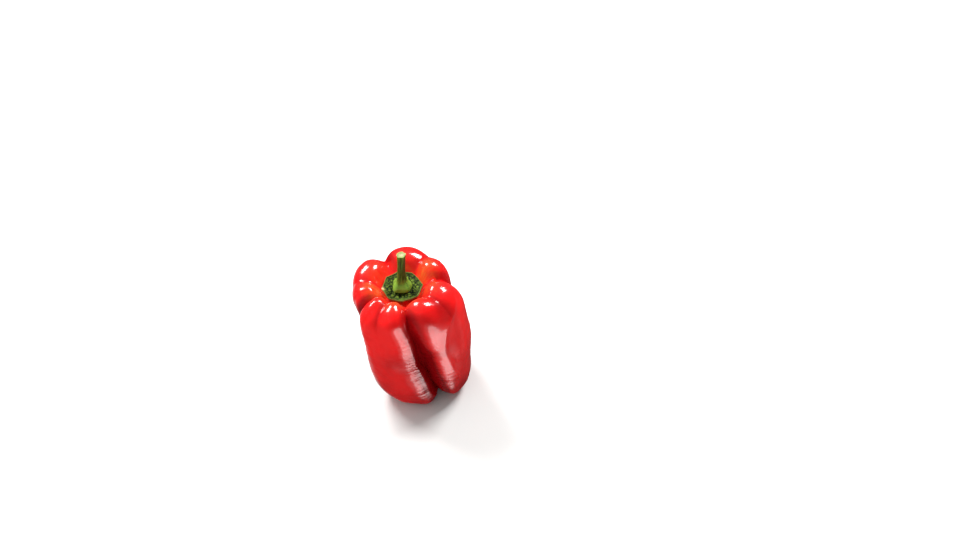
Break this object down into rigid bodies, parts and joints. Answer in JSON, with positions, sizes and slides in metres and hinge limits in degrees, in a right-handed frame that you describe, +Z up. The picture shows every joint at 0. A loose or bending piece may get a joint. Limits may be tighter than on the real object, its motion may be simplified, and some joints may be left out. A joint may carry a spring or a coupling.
{
  "type": "bell pepper",
  "caption": "Whole glossy red bell pepper as picked, with bulging lobes, a puckered green calyx and a ribbed cut stem, standing on its blossom end.",
  "frame": {"origin": "bottom centre of the whole pepper's bounding box, on the plane that its lobes stand on", "axes": "+Z up along the fruit towards the stem, -Y towards the deepest crease"},
  "size_m": [0.085, 0.0814, 0.1309],
  "materials": {
    "red_skin": "waxy gloss skin",
    "green_calyx": "crinkled matte leaf",
    "green_stem": "satin ribbed stem"
  },
  "bodies": {
    "root": {"fruit": "red_skin", "calyx": "green_calyx", "stem": "green_stem"}
  },
  "joints": []
}
